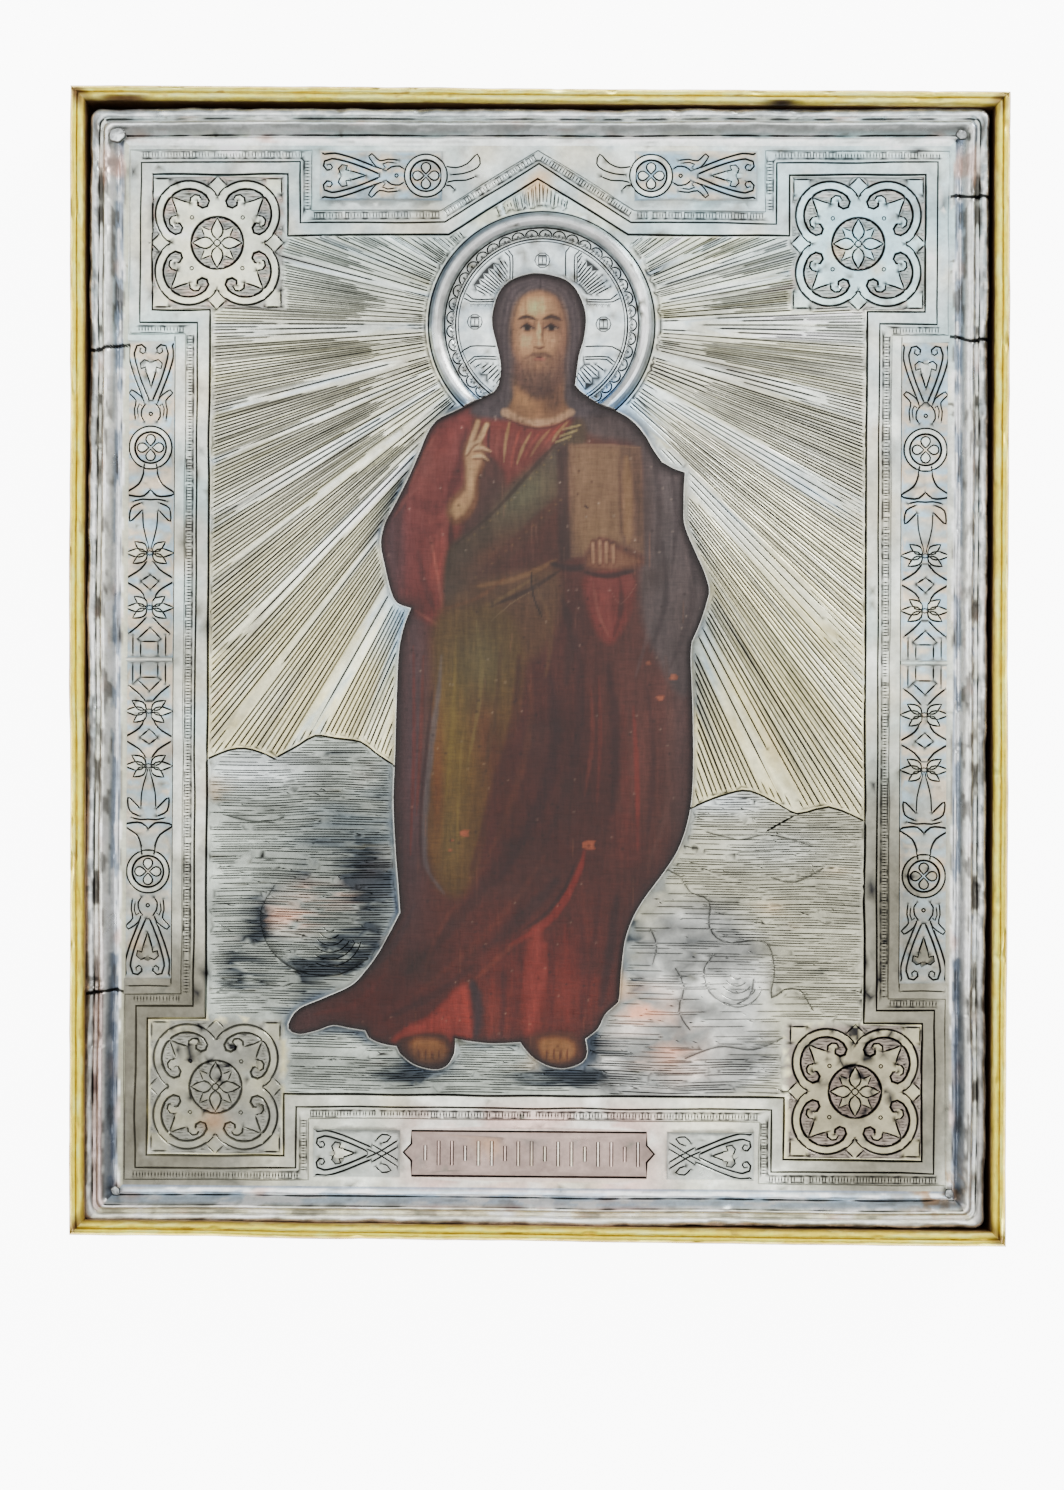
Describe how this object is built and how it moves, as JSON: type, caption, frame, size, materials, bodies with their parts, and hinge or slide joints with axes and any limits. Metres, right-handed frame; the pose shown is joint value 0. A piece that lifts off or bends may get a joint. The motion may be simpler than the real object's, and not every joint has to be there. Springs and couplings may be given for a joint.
{
  "type": "icon panel",
  "caption": "Painted wooden icon board under an embossed silver cover with a figure-shaped window, in a narrow gilt frame.",
  "frame": {"origin": "middle of the frame's underside", "axes": "+Z out of the picture's face, +Y towards its top edge, +X to the right as seen from the front"},
  "size_m": [0.1884, 0.2314, 0.0282],
  "materials": {
    "painted_wood": "aged tempera painting on a dark wooden board",
    "silver": "tarnished silver-plated sheet, pressed and engraved",
    "gilt": "worn gilding on wood"
  },
  "bodies": {
    "root": {"icon_board": "painted_wood", "riza": "silver", "nail_top_left": "silver", "nail_top_right": "silver", "nail_bottom_left": "silver", "nail_bottom_right": "silver", "frame_rail_top": "gilt", "frame_rail_bottom": "gilt", "frame_rail_left": "gilt", "frame_rail_right": "gilt"}
  },
  "joints": []
}
